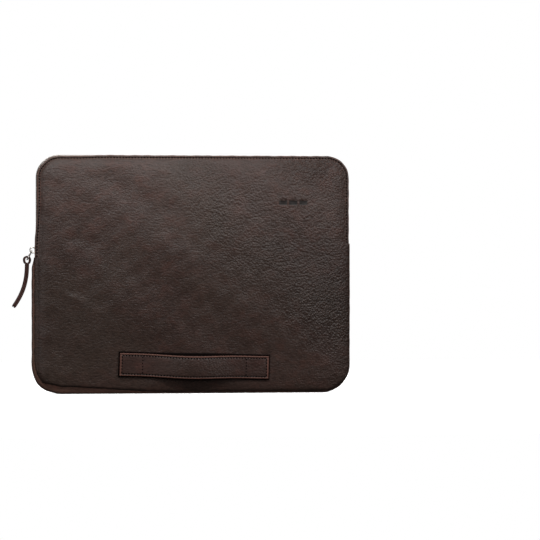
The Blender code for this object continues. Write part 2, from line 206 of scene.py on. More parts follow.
def crown(x, z, side):
    """How far the padded face stands out from the CAD's flat face."""
    x, z = np.asarray(x, float), np.asarray(z, float)
    d = inside_distance(x, z)
    start = 0.0008 + 0.0030 * zip_share(x, z)
    beside = smooth(0.135, 0.155, np.abs(x))
    reach = 0.0054 + 0.0010 * ripple(x, z, 7 + side, 0.03, 0.08) + 0.0004 * beside
    shape = (0.0022 + 0.0016 * beside) * (1 - np.exp(-np.maximum(d - start, 0) / reach))
    wide = np.maximum((1 - (x / HALF_W) ** 2) * (1 - ((z - 0.125) / 0.125) ** 2), 0)
    shape = shape + 0.0026 * wide
    inner = smooth(0.005, 0.030, d)
    shape = shape + 0.00060 * inner * ripple(x, z, 11 + side, 0.05, 0.12)
    shape = shape + 0.00018 * inner * ripple(x, z, 23 + side, 0.016, 0.034, 14)
    near = np.exp(-(((d - 0.010) / 0.007) ** 2)) * smooth(0.003, 0.007, d)
    shape = shape + 0.00028 * near * ripple(x, z, 31 + side, 0.014, 0.040, 12)
    if side < 0:
        for height, *dent in DENTS:
            shape = shape + height * bump_at(x, z, *dent)
        for end in (-1, 1):
            pad_x, pad_z = strap_place(end * (STRAP_HALF - STRAP_PAD / 2), 0.0)
            shape = shape - 0.0006 * bump_at(x, z, pad_x, pad_z, -1.5, 0.022, 0.022)
    return shape


# ---------------------------------------------------------------- grab strap's place

STRAP_HALF = 0.0778
STRAP_WIDE = 0.01175
STRAP_PAD = 0.0237
STRAP_MID = (-0.0003, 0.0286)
STRAP_TILT = math.radians(1.5)
STRAP_BOW = 0.0084
STRAP_PLY = 0.00125


def strap_sag(along):
    free = STRAP_HALF - STRAP_PAD
    t = np.clip((np.asarray(along, float) + 0.006) / free, -1, 1)
    return 0.0015 * np.cos(t * math.pi / 2) ** 2


def strap_place(along, across):
    """The x and z of a point of the strap, given along it and across it."""
    drop = strap_sag(along)
    x = STRAP_MID[0] + along * math.cos(STRAP_TILT) + across * math.sin(STRAP_TILT)
    z = (
        STRAP_MID[1]
        - along * math.sin(STRAP_TILT)
        + across * math.cos(STRAP_TILT)
        - drop
    )
    return x, z


def strap_lift(along):
    """How far the strap's middle stands off its sewn pads."""
    free = STRAP_HALF - STRAP_PAD
    t = np.clip(np.abs(along) / free, 0, 1)
    return STRAP_BOW * 0.5 * (1 + np.cos(math.pi * t))


# ---------------------------------------------------------------- mesh helpers


def make_mesh(name, points, faces, uv, materials, slots=None, shade=True):
    mesh = bpy.data.meshes.new(name)
    mesh.from_pydata([tuple(map(float, p)) for p in points], [], faces)
    layer = mesh.uv_layers.new(name="UVMap")
    index = np.zeros(len(mesh.loops), np.int32)
    mesh.loops.foreach_get("vertex_index", index)
    layer.data.foreach_set("uv", np.asarray(uv, np.float32)[index].ravel())
    for material in materials:
        mesh.materials.append(material)
    if slots is not None:
        mesh.polygons.foreach_set("material_index", np.asarray(slots, np.int32))
    mesh.polygons.foreach_set("use_smooth", np.full(len(mesh.polygons), shade))
    mesh.update()
    made = bpy.data.objects.new(name, mesh)
    bpy.context.scene.collection.objects.link(made)
    return made


def fix_normals(made):
    work = bmesh.new()
    work.from_mesh(made.data)
    bmesh.ops.recalc_face_normals(work, faces=work.faces)
    work.to_mesh(made.data)
    work.free()
    return made


def ring_quads(start, rings, sides):
    """The quads between closed rings of points that are numbered from start."""
    return [
        (a + k, a + (k + 1) % sides, a + sides + (k + 1) % sides, a + sides + k)
        for a in range(start, start + (rings - 1) * sides, sides)
        for k in range(sides)
    ]


def solid_faces(start, rings, sides):
    """The same quads, with a cap at both ends."""
    last = start + (rings - 1) * sides
    caps = [tuple(range(start, start + sides))[::-1], tuple(range(last, last + sides))]
    return ring_quads(start, rings, sides) + caps


def loft(name, rings, uv, materials, closed_ring=True, capped=True, slot_of=None, loop=False):
    """A skin through rings of points. slot_of gives a material index for each side of a ring."""
    rings = np.asarray(rings, float)
    n, m = rings.shape[:2]
    faces, slots = [], []
    sides = m if closed_ring else m - 1
    spans = n if loop else n - 1
    for i in range(spans):
        a, b = i * m, ((i + 1) % n) * m
        for j in range(sides):
            k = (j + 1) % m
            faces.append((a + j, a + k, b + k, b + j))
            slots.append(slot_of[j] if slot_of else 0)
    if capped and closed_ring and not loop:
        faces.append(tuple(range(m))[::-1])
        faces.append(tuple((n - 1) * m + j for j in range(m)))
        slots += [slot_of[0] if slot_of else 0] * 2
    made = make_mesh(name, rings.reshape(-1, 3), faces, uv, materials, slots)
    return fix_normals(made)


def place(made, body=None, replaces=()):
    if body:
        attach(made, body)
    if replaces:
        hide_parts(*replaces)
    return made


def repaint(node, material):
    """Gives a CAD node that stays in the picture a material of its own."""
    mesh = frame["nodes"][node].data
    mesh.materials.clear()
    mesh.materials.append(material)


def bend(made):
    """Bakes a front piece's placement into its mesh. It doesn't bend the piece at the fold between
    the sleeve and its flap.
    """
    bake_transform(made)
    return made


# ---------------------------------------------------------------- materials


class Nodes:
    """A small helper that writes a material's node tree."""

    def __init__(self, name, colour, roughness, metallic=0.0):
        self.material = bpy.data.materials.new(name)
        self.material.use_nodes = True
        self.tree = self.material.node_tree
        self.shader = self.tree.nodes["Principled BSDF"]
        self.shader.inputs["Base Color"].default_value = (*colour, 1)
        self.shader.inputs["Roughness"].default_value = roughness
        self.shader.inputs["Metallic"].default_value = metallic

    def add(self, kind, **values):
        node = self.tree.nodes.new(kind)
        for key, value in values.items():
            if hasattr(node, key):
                setattr(node, key, value)
            else:
                node.inputs[key.replace("_", " ")].default_value = value
        return node

    def link(self, source, target):
        self.tree.links.new(source, target)

    def uv(self, scale=(1, 1, 1), rotation=0.0):
        source = self.add("ShaderNodeUVMap", uv_map="UVMap")
        return self.texture(
            "ShaderNodeMapping", source.outputs[0], 0, Scale=scale, Rotation=(0, 0, rotation)
        )

    def texture(self, kind, vector, output, **values):
        """Adds a node that reads the vector, and gives one of its outputs."""
        node = self.add(kind, **values)
        self.link(vector, node.inputs["Vector"])
        return node.outputs[output]

    def scaled(self, vector, scale):
        return self.texture("ShaderNodeMapping", vector, 0, Scale=scale)

    def warp(self, vector, scale, amount):
        wobble = self.texture("ShaderNodeTexNoise", vector, "Color", Scale=scale, Detail=2)
        moved = self.add("ShaderNodeVectorMath", operation="MULTIPLY_ADD")
        self.link(wobble, moved.inputs[0])
        moved.inputs[1].default_value = (amount, amount, 0)
        self.link(vector, moved.inputs[2])
        return moved.outputs[0]

    def noise(self, vector, scale, detail=3.0, rough=0.5, distortion=0.0):
        return self.texture(
            "ShaderNodeTexNoise", vector, 0,
            Scale=scale, Detail=detail, Roughness=rough, Distortion=distortion,
        )

    def cells(self, vector, scale, feature="F1"):
        kind = "ShaderNodeTexVoronoi"
        return self.texture(kind, vector, "Distance", feature=feature, Scale=scale)

    def wave(self, vector, scale, direction="X", distortion=0.0):
        return self.texture(
            "ShaderNodeTexWave", vector, "Fac",
            bands_direction=direction, Scale=scale, Distortion=distortion,
        )

    def maths(self, operation, a, b=0.0):
        node = self.add("ShaderNodeMath", operation=operation)
        for socket, value in zip(node.inputs, (a, b)):
            if isinstance(value, (int, float)):
                socket.default_value = value
            else:
                self.link(value, socket)
        return node.outputs[0]

    def times(self, a, b):
        return self.maths("MULTIPLY", a, b)

    def plus(self, a, b):
        return self.maths("ADD", a, b)

    def minus(self, a, b):
        return self.maths("SUBTRACT", a, b)

    def fade(self, value, low, high, bottom=0.0, top=1.0):
        """Grey that goes from bottom to top while the value goes from low to high."""
        return self.ramp(value, (low, (bottom,) * 3), (high, (top,) * 3))

    def ramp(self, value, *stops):
        node = self.add("ShaderNodeValToRGB")
        points = node.color_ramp.elements
        while len(points) < len(stops):
            points.new(0.5)
        for point, (at, colour) in zip(points, stops):
            point.position = at
            point.color = (*colour, 1)
        self.link(value, node.inputs["Fac"])
        return node.outputs["Color"]

    def mix(self, factor, a, b, blend="MIX"):
        node = self.add("ShaderNodeMix", data_type="RGBA", blend_type=blend)
        for socket, value in zip(
            (node.inputs[0], node.inputs[6], node.inputs[7]), (factor, a, b)
        ):
            if isinstance(value, (int, float)):
                socket.default_value = value
            elif isinstance(value, tuple):
                socket.default_value = (*value, 1)
            else:
                self.link(value, socket)
        return node.outputs[2]

    def colour(self, socket):
        self.link(socket, self.shader.inputs["Base Color"])

    def rough(self, value, low, high):
        node = self.add("ShaderNodeMapRange")
        node.inputs["To Min"].default_value = low
        node.inputs["To Max"].default_value = high
        self.link(value, node.inputs["Value"])
        self.link(node.outputs[0], self.shader.inputs["Roughness"])

    def bump(self, *layers):
        """Each layer is (height socket, strength, distance in metres)."""
        previous = None
        for height, strength, distance in layers:
            node = self.add("ShaderNodeBump")
            node.inputs["Strength"].default_value = strength
            node.inputs["Distance"].default_value = distance
            self.link(height, node.inputs["Height"])
            if previous is not None:
                self.link(previous, node.inputs["Normal"])
            previous = node.outputs[0]
        self.link(previous, self.shader.inputs["Normal"])


PEBBLE_SCALE = 470


def leather_material(name, dark, light, rough=(0.33, 0.52), grain=1.0):
    """Oiled full-grain leather: long fine creases, pebbles in patches, pores, cloudy colour and a
    band of painted shade by height.
    The UV is in metres. On the faces it is x and z."""
    n = Nodes(name, light, 0.5)
    uv = n.uv()
    warped = n.warp(n.warp(uv, 24, 0.012), 170, 0.0026)
    cloud = n.noise(uv, 24, 5, 0.6, 0.5)
    patch = n.noise(uv, 8, 2, 0.5)
    blotch = n.noise(n.uv((0.7, 1, 1)), 75, 4, 0.6, 0.3)
    parts = n.add("ShaderNodeSeparateXYZ")
    n.link(uv, parts.inputs[0])
    across, up = parts.outputs[0], parts.outputs[1]

    # Pebbles take over from creases toward the upper right
    drift = n.plus(n.times(patch, 0.8), n.times(across, 2.2))
    drift = n.plus(drift, n.times(n.minus(up, 0.14), 1.2))
    pebbled = n.fade(drift, 0.44, 0.80, 0.16)
    plain = n.minus(1.0, n.times(pebbled, 0.75))
    crease = n.noise(n.scaled(warped, (0.36, 1, 1)), 600, 3, 0.6)
    groove = n.fade(crease, 0.40, 0.52)
    even = n.warp(uv, 120, 0.0012)
    pebble = n.cells(even, PEBBLE_SCALE, "SMOOTH_F1")
    gap = n.fade(n.cells(even, PEBBLE_SCALE, "DISTANCE_TO_EDGE"), 0.0, 0.22)
    fine = n.cells(warped, 1300)
    pore = n.noise(uv, 2600, 2, 0.6)

    red = (light[0] * 1.12, light[1] * 0.86, light[2] * 0.80)
    olive = (light[0] * 0.74, light[1] * 0.86, light[2] * 0.80)
    deep = tuple(c * 0.30 for c in dark)
    tone = n.mix(cloud, dark, light)
    tone = n.mix(n.fade(blotch, 0.48, 0.66, 0.0, 0.6), tone, red)
    tone = n.mix(n.fade(patch, 0.45, 0.62, 0.0, 0.6), tone, olive)
    tone = n.mix(n.times(n.minus(1.0, groove), n.times(plain, 0.42)), tone, deep)
    tone = n.mix(n.times(n.minus(1.0, gap), n.times(pebbled, 0.85)), tone, deep)
    # Painted shade: the colour is darker between the strap and the middle, where the light falls
    # off.
    painted_shade = n.ramp(
        up, (0.02, (1, 1, 1)), (0.06, (0.76, 0.73, 0.70)), (0.14, (0.74, 0.71, 0.68)),
        (0.21, (1, 1, 1)),
    )
    n.colour(n.mix(1.0, tone, painted_shade, "MULTIPLY"))
    n.rough(n.plus(n.times(cloud, 0.6), n.times(blotch, 0.5)), *rough)
    n.bump(
        (n.times(crease, plain), 1.0, 0.00085 * grain),
        (n.times(pebble, pebbled), 1.0, -0.00210 * grain),
        (n.times(gap, pebbled), 1.0, 0.00045 * grain),
        (fine, 0.5, -0.00008 * grain),
        (pore, 0.3, 0.00005),
        (blotch, 0.7, 0.0010 * grain),
    )
    n.shader.inputs["Specular IOR Level"].default_value = 0.21
    return n.material


def edge_material(name, colour, shine=0.18):
    """The raw, burnished edge of cut leather. It also makes the near-black painted shadow of the
    strap's backing.
    """
    n = Nodes(name, colour, 0.55)
    uv = n.uv()
    fibre = n.noise(uv, 900, 3, 0.6)
    n.colour(n.mix(fibre, tuple(c * 0.6 for c in colour), tuple(c * 1.35 for c in colour)))
    n.bump((fibre, 0.5, 0.0003))
    n.shader.inputs["Specular IOR Level"].default_value = shine
    return n.material


def cloth_material(name, dark, light, threads, nap=0.25):
    n = Nodes(name, light, 0.92)
    uv = n.uv()
    warp = n.wave(uv, threads, "X", 0.6)
    weft = n.wave(uv, threads, "Y", 0.6)
    weave = n.times(warp, weft)
    fuzz = n.noise(uv, 900, 4, 0.65)
    patchy = n.noise(uv, 30, 3, 0.5)
    base = n.mix(n.plus(n.times(fuzz, 0.6), n.times(patchy, 0.4)), dark, light)
    n.colour(n.mix(n.times(weave, 0.35), base, tuple(c * 0.6 for c in dark)))
    n.bump((weave, 0.5, 0.00025), (fuzz, 0.4, 0.0003))
    n.shader.inputs["Sheen Weight"].default_value = nap
    n.shader.inputs["Sheen Roughness"].default_value = 0.5
    return n.material


def tape_material():
    """Herringbone-woven zip tape."""
    n = Nodes("zip_tape_cloth", (0.030, 0.019, 0.016), 0.85)
    uv = n.uv()
    rib = n.wave(uv, 260, "Y", 0.4)
    weft = n.wave(uv, 420, "X", 0.8)
    weave = n.times(rib, weft)
    n.colour(n.mix(weave, (0.014, 0.008, 0.007), (0.050, 0.031, 0.026)))
    n.bump((weave, 0.8, 0.0003))
    n.shader.inputs["Sheen Weight"].default_value = 0.2
    return n.material


def metal_material(name, colour, rough, scratch=0.25, grime=(0.25, 0.20, 0.16), metallic=0.6):
    n = Nodes(name, colour, rough, metallic)
    uv = n.uv()
    smear = n.noise(uv, 260, 4, 0.6)
    fine = n.noise(n.uv((1, 9, 1)), 900, 2, 0.5)
    n.colour(n.mix(n.times(smear, 0.45), colour, grime))
    n.rough(smear, rough * 0.7, rough * 1.6)
    n.bump((fine, scratch, 0.00006), (smear, 0.15, 0.0002))
    return n.material


def thread_material():
    """Waxed, twisted thread."""
    n = Nodes("waxed_thread", (0.003, 0.0018, 0.0015), 0.6)
    n.shader.inputs["Specular IOR Level"].default_value = 0.05
    uv = n.uv()
    twist = n.wave(n.uv((1, 1, 1), math.radians(35)), 700, "X", 0.3)
    n.colour(n.mix(twist, (0.0012, 0.0007, 0.0006), (0.0045, 0.0026, 0.0022)))
    n.bump((twist, 0.7, 0.0002), (n.noise(uv, 3000, 2), 0.2, 0.0001))
    return n.material


LEATHER = leather_material(
    "dark_leather", (0.020, 0.0110, 0.0085), (0.043, 0.0245, 0.0195), grain=0.6
)
STRAP_LEATHER = leather_material(
    "strap_leather", (0.022, 0.0114, 0.0090), (0.041, 0.0216, 0.0174), (0.36, 0.52), 0.34
)
RIM_LEATHER = leather_material(
    "rim_leather", (0.040, 0.0215, 0.0165), (0.085, 0.046, 0.036), (0.36, 0.52), 0.4
)
# Near-black leather for the pressed mark. It also paints shade into the stitch grooves, the seams
# and the strap's groove.
PRESSED_AND_SHADE = leather_material(
    "pressed_mark_and_painted_shade", (0.004, 0.0024, 0.0019), (0.008, 0.005, 0.004), grain=0.1
)
RAW_EDGE = edge_material("raw_leather_edge", (0.078, 0.034, 0.025))
GUSSET_LEATHER = leather_material(
    "gusset_leather", (0.078, 0.0400, 0.0305), (0.160, 0.084, 0.065), (0.36, 0.52), 0.45
)
DARK_EDGE = edge_material("dark_leather_edge", (0.036, 0.0145, 0.0115))
# Near-black for the strap's backing ply, whose rim shows round the strap as painted shadow.
BACKING_PAINTED_SHADOW = edge_material("strap_backing_painted_shadow", (0.0030, 0.0018, 0.0015), 0.02)
LINING = cloth_material("brown_lining", (0.060, 0.036, 0.025), (0.120, 0.078, 0.056), 330, 0.5)
FOAM = cloth_material("grey_padding", (0.050, 0.050, 0.050), (0.110, 0.110, 0.110), 500)
TAPE = tape_material()
TEETH = metal_material("zip_teeth_metal", (0.44, 0.41, 0.38), 0.30, metallic=0.85)
NICKEL = metal_material("polished_nickel", (0.68, 0.65, 0.61), 0.18, 0.12, (0.46, 0.41, 0.36), 0.85)
THREAD = thread_material()

# ---------------------------------------------------------------- padded faces

# Rings of the turned and stitched edge beside the zip: (distance in, depth from the face)
ZIP_EDGE = [
    (0.0032, 0.0028), (0.0020, 0.0026), (0.0010, 0.0024), (0.0004, 0.0019), (0.0001, 0.0013),
    (0.0002, 0.0008), (0.0006, 0.0004), (0.0011, 0.0001), (0.0017, 0.0000), (0.0022, 0.0002),
    (0.0027, 0.0005), (0.0032, 0.0003), (0.0038, 0.0000), (0.0050, 0.0000), (0.0070, 0.0),
    (0.0095, 0.0), (0.0125, 0.0), (0.0160, 0.0),
]
# The same rings where the edge turns down into the gusset's seam
SEAM_EDGE = [
    (0.0030, 0.0028), (0.0018, 0.0028), (0.0008, 0.0027), (0.0003, 0.0024), (0.0000, 0.0019),
    (0.0001, 0.0014), (0.0004, 0.0009), (0.0009, 0.00045), (0.0015, 0.0002), (0.0022, 0.00005),
    (0.0028, 0.0), (0.0034, 0.0), (0.0042, 0.0), (0.0052, 0.0), (0.0070, 0.0),
    (0.0095, 0.0), (0.0125, 0.0), (0.0160, 0.0),
]


def corner_swell(x, z):
    """How far the padded lower left corner swells."""
    return 0.0024 * np.exp(-((x + 0.1555) ** 2 + (z - 0.0105) ** 2) / 0.010**2)


def seam_shift(x, z, side):
    """How far a face's edge moves outward from the CAD's outline. At the left the padded gusset
    pushes it out and the zip draws the back in, and at the lower left it lifts the front's edge
    off the floor."""
    x, z = np.asarray(x, float), np.asarray(z, float)
    left = smooth(-0.150, -0.162, x)
    shift = -0.0009 * smooth(-0.095, -0.122, x) * smooth(0.23, 0.24, z)
    if side > 0:
        pinch = np.exp(-(((z - 0.152) / 0.016) ** 2))
        shift = shift + left * 0.0022 * smooth(0.141, 0.126, z) * smooth(0.0, 0.030, z)
        shift = shift - left * 0.0022 * smooth(0.142, 0.150, z) * smooth(0.243, 0.230, z)
        return shift - 0.0004 * left * pinch + corner_swell(x, z)
    low_left = smooth(0.0135, 0.003, z) * smooth(-0.020, -0.150, x)
    shift = shift + 0.0024 * left * smooth(0.194, 0.147, z) * smooth(0.010, 0.040, z)
    shift = shift - 0.0061 * low_left
    return shift + 0.0004 * smooth(0.150, 0.162, x) * smooth(0.160, 0.140, z)


def face_panel(name, side, material, foot):
    """A crowned leather face with its turned edge, closed at the back by a flat inner side."""
    share = zip_share(LOOP[:, 0], LOOP[:, 1])
    shift = seam_shift(LOOP[:, 0], LOOP[:, 1], side)
    rows, uvs = [], []
    run = np.concatenate([[0], np.cumsum(np.hypot(*np.diff(LOOP[:, :2], axis=0).T))])
    pucker = waves(run, (0.00010, 0.0127), (0.00008, 0.031))
    for (zip_in, zip_depth), (seam_in, seam_depth) in zip(ZIP_EDGE, SEAM_EDGE):
        inset = share * zip_in + (1 - share) * seam_in
        depth = share * zip_depth + (1 - share) * seam_depth
        move = (shift + pucker) * (1 - smooth(0.002, 0.016, inset)) - inset
        x = LOOP[:, 0] + move * LOOP[:, 2]
        z = LOOP[:, 1] + move * LOOP[:, 3]
        swell = crown(x, z, side) * smooth(0.0, 0.0012, 0.0016 - np.minimum(depth, 0.0016))
        y = side * (FACE_Y - depth + swell)
        rows.append(np.stack([x, y, z], axis=1))
        uvs.append(np.stack([x, z], axis=1))
    points = np.concatenate(rows)
    uv = np.concatenate(uvs)
    count = len(LOOP)
    faces = ring_quads(0, len(rows), count)
    middles = 0.5 * (share + np.roll(share, -1))
    slots = []
    for k in range(len(rows) - 1):
        # Rings 8 and 9, the stitch groove beside the zip, and rings 2 and 3, where the edge turns
        # down into the seam, take slot 2's near-black as painted shade.
        rim, seam = (2 if k in (8, 9) else int(1 < k < 12)), 2 * int(1 < k < 4)
        slots += [rim if middles[i] > 0.5 else seam for i in range(count)]
    last = (len(rows) - 1) * count
    grid_points, grid_faces = inner_grid(ZIP_EDGE[-1][0], last, len(points))
    x, z = grid_points[:, 0], grid_points[:, 1]
    y = side * (FACE_Y + crown(x, z, side))
    y = y - side * mark_depth(x, z, side)
    points = np.concatenate([points, np.stack([x, y, z], axis=1)])
    uv = np.concatenate([uv, grid_points])
    faces += grid_faces
    corners = points[np.array(grid_faces)]
    pressed = mark_depth(corners[:, :, 0].mean(axis=1), corners[:, :, 2].mean(axis=1), side)
    slots += [2 * int(v) for v in np.broadcast_to(pressed > 0.00030, len(grid_faces))]
    back_points, back_faces = inner_grid(ZIP_EDGE[0][0], 0, len(points))
    y = np.full(len(back_points), side * foot)
    points = np.concatenate(
        [points, np.stack([back_points[:, 0], y, back_points[:, 1]], axis=1)]
    )
    uv = np.concatenate([uv, back_points])
    faces += [f[::-1] for f in back_faces]
    slots += [0] * len(back_faces)
    made = make_mesh(name, points, faces, uv, [material, RIM_LEATHER, PRESSED_AND_SHADE], slots)
    return fix_normals(made)


def ring_index(i, j):
    """The place in LOOP of the grid's border point at column i, row j."""
    if j == 0:
        return i
    if i == COLUMNS:
        return COLUMNS + j
    if j == RISE:
        return COLUMNS + RISE + (COLUMNS - i)
    return COLUMNS + RISE + COLUMNS + (RISE - j)


def inner_grid(inset, ring_start, first):
    """Points and faces that fill the ring which starts at ring_start, as a grid."""
    low = BOTTOM[:, :2] - inset * BOTTOM[:, 2:]
    high = TOP[:, :2] - inset * TOP[:, 2:]
    share = CLIMBS[1:-1]
    inner_low, inner_high = low[1:-1], high[1:-1]
    points = (
        inner_low[None] * (1 - share[:, None, None])
        + inner_high[None] * share[:, None, None]
    )
    width = COLUMNS - 1

    def at(i, j):
        if i in (0, COLUMNS) or j in (0, RISE):
            return ring_start + ring_index(i, j)
        return first + (j - 1) * width + (i - 1)

    faces = [
        (at(i, j), at(i + 1, j), at(i + 1, j + 1), at(i, j + 1))
        for j in range(RISE)
        for i in range(COLUMNS)
    ]
    return points.reshape(-1, 2), faces


MARK_Z = 0.1982
MARK_X = np.arange(3) * 0.0108 + 0.0928
MARK_HALF_W = 0.0040
MARK_HALF_H = 0.0023
MARK_DEPTH = 0.0010


def mark_depth(x, z, side):
    """A plain row of equal pressed bars."""
    total = np.zeros_like(x)
    if side < 0:
        for middle in MARK_X:
            reach = np.maximum(np.abs(x - middle) / MARK_HALF_W, np.abs(z - MARK_Z) / MARK_HALF_H)
            total = total + smooth(1.20, 0.85, reach)
    return MARK_DEPTH * np.minimum(total, 1)


FACE_FOOT = FACE_Y - 0.0028
FRONT_PANEL = face_panel("front_panel", -1, LEATHER, FACE_FOOT)
bend(FRONT_PANEL)
place(
    FRONT_PANEL, None,
    ["front_leather_lower", "front_leather_upper", "front_foam_lower", "front_foam_upper"],
)
BACK_PANEL = face_panel("back_panel", 1, LEATHER, FACE_FOOT)
place(BACK_PANEL, "sleeve", ["back_leather", "back_foam"])

# ---------------------------------------------------------------- gusset


def swept(name, stations, along, profile, materials, closed=True, slot_of=None):
    """profile(station index) gives (outward, y) pairs."""
    rings, uv = [], []
    for i, (x, z, nx, nz) in enumerate(stations):
        section = profile(i)
        across = 0.0
        for j, (out, y) in enumerate(section):
            rings.append((x + out * nx, y, z + out * nz))
            if j:
                across += math.hypot(out - section[j - 1][0], y - section[j - 1][1])
            uv.append((along[i], across))
    rings = np.array(rings).reshape(len(stations), -1, 3)
    return loft(name, rings, uv, materials, closed, closed, slot_of)


def gusset():
    """The padded strip between the faces' seams. It swells most at the left side."""
    stations, along = run_between(GUSSET_LEFT, GUSSET_RIGHT, 0.0022, False)
    x, z = stations[:, 0], stations[:, 1]
    wobble = waves(along, (0.00018, 0.0117), (0.00015, 0.0291))
    front_shift = seam_shift(x, z, -1) + wobble - 0.0002
    back_shift = seam_shift(x, z, 1) + wobble - 0.0002
    swell = 0.0023 * smooth(-0.150, -0.162, x) * smooth(0.141, 0.128, z) * smooth(0.004, 0.030, z)
    swell = swell + corner_swell(x, z)
    wrinkle = ripple(along, along * 0, 53, 0.010, 0.030, 8)
    soft = smooth(0.001, 0.012, z)
    half = FACE_Y - 0.0021
    top = BASE_Z - GUSSET_LOW

    def side_of(edge, full, sign):
        """From the seam's turned-in margin up to the strip's middle: (outward, y)."""
        rise = full - edge
        shape = [(-0.0030, 0.0), (-0.0006, 0.0), (0.0002, 0.0001)]
        found = [(edge + o, sign * (half - y)) for o, y in shape]
        found += [
            (edge + rise * share, sign * (half - y))
            for share, y in (
                (0.28, 0.0003), (0.62, 0.0011), (0.86, 0.0024), (0.97, 0.0042), (1.0, 0.0066)
            )
        ]
        return found

    def profile(i):
        full = top + swell[i] + 0.00012 * wrinkle[i] * soft[i]
        dip = 0.00025 * soft[i] * (1 + 0.5 * math.sin(along[i] * 71))
        outer = side_of(front_shift[i], full, -1) + [(full - dip, 0.0)]
        outer += side_of(back_shift[i], full, 1)[::-1]
        inner = [(-0.0024, half - 0.0016), (-0.0008, half - 0.0040), (-0.0008, -half + 0.0040),
                 (-0.0024, -half + 0.0016)]
        return outer + inner

    sides = len(profile(0))
    # The margins turned in under the faces' seams take the near-black leather as painted shade in
    # the seams.
    dark = {0, 1, 15, 16}
    slot_of = [int(j in dark) for j in range(sides)]
    materials = [GUSSET_LEATHER, PRESSED_AND_SHADE]
    made = swept("gusset", stations, along - 0.4, profile, materials, slot_of=slot_of)
    place(
        made, "sleeve",
        ["gusset_leather_left", "gusset_leather_bottom", "gusset_leather_right"],
    )
    return made


GUSSET = gusset()
for part in ("left", "bottom", "right"):
    repaint(f"gusset_foam_{part}", FOAM)

# ---------------------------------------------------------------- linings


def lining_sheet(name, side, nodes, bends):
    """The napped cloth inside a face, slightly uneven, as a thin sheet with a turned hem."""
    inset = 0.0040
    reach = inset - 0.0014 * zip_share(LOOP[:, 0], LOOP[:, 1])
    outer = LOOP[:, :2] - reach[:, None] * LOOP[:, 2:]
    thickness = 0.0004
    near = LINING_Y
    points, faces = [], []

    def level(x, z, y):
        give = 0.00014 * ripple(x, z, 41 + side, 0.03, 0.09)
        give = give + 0.00005 * ripple(x, z, 43, 0.008, 0.02)
        return np.stack([x, side * (y + np.maximum(give, -0.0001)), z], axis=1)

    grid, grid_faces = inner_grid(inset, 0, len(LOOP))
    shape = np.concatenate([outer, grid])
    points = level(shape[:, 0], shape[:, 1], near + 0.0001)
    back = points + np.array([0, side * thickness, 0])
    count = len(points)
    faces = list(grid_faces) + [tuple(v + count for v in f[::-1]) for f in grid_faces]
    for i in range(len(LOOP)):
        j = (i + 1) % len(LOOP)
        faces.append((i, i + count, j + count, j))
    points, uv = np.concatenate([points, back]), np.concatenate([shape, shape])
    made = fix_normals(make_mesh(name, points, faces, uv, [LINING]))
    if bends:
        bend(made)
    place(made, None if bends else "sleeve", nodes)
    return made


lining_sheet("front_lining", -1, ["front_lining_lower", "front_lining_upper"], True)
lining_sheet("back_lining_cloth", 1, ["back_lining"], False)


def gusset_lining():
    stations, along = run_between(GUSSET_LEFT, GUSSET_RIGHT, 0.0030, False)
    half = 0.0086
    ys = np.linspace(-half, half, 9)

    def profile(i):
        give = [0.0001 * math.sin(along[i] * 90 + 3 * k) for k in range(len(ys))]
        low = [(-0.0032 + g, y) for g, y in zip(give, ys)]
        return low + [(o + 0.0004, y) for o, y in reversed(low)]

    made = swept("gusset_lining_cloth", stations, along, profile, [LINING])
    place(
        made, "sleeve",
        ["gusset_lining_left", "gusset_lining_bottom", "gusset_lining_right"],
    )


gusset_lining()

# ---------------------------------------------------------------- zip

CHAIN_IN = 0.0013
TAPE_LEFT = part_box("front_zip_tape_left_end")[0].z
TAPE_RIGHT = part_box("front_zip_tape_right_end")[0].z
TEETH_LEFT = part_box("front_zip_teeth_left_end")[0].z
TEETH_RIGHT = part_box("front_zip_teeth_right_end")[0].z
TOOTH_PITCH = 0.00213


def place_zip(made, side, kind):
    """Puts a tape or a row of teeth on its body. The front's has its placement baked in and goes on
    no body.
    """
    parts = ["left", "top", "right"] + (["left_end", "right_end"] if side < 0 else [])
    if side < 0:
        bend(made)
    nodes = [f"{WHICH[side]}_{kind}_{part}" for part in parts]
    place(made, None if side < 0 else "sleeve", nodes)


def zip_tape(side):
    stations, along = run_between(TAPE_LEFT, TAPE_RIGHT, 0.0018)

    def profile(i):
        ys = [0.0025, 0.0031, 0.0038, 0.0055, 0.0075, 0.0098]
        tops = [0.0001, 0.0005, 0.0003, 0.0002, 0.0001, 0.0000]
        top = [(-CHAIN_IN + t, side * y) for y, t in zip(ys, tops)]
        under = [(-CHAIN_IN - 0.0004, side * y) for y in reversed(ys)]
        return top + under

    made = swept(WHICH[side] + "_tape", stations, along, profile, [TAPE])
    place_zip(made, side, "zip_tape")


def tooth_shape(half_len, reach_in, reach_out):
    """Corner points of one tooth: a clamped foot on the tape and a rounded head at the middle."""
    outline = [
        (reach_out, 0.62), (reach_out - 0.0004, 1.0), (reach_out - 0.0013, 1.0),
        (reach_in + 0.0010, 0.78), (reach_in + 0.0004, 0.92), (reach_in, 0.60),
    ]
    heights = [0.0008, 0.00105, 0.00105, 0.0009, 0.0010, 0.0006]
    return [(y, half_len * w, h) for (y, w), h in zip(outline, heights)]


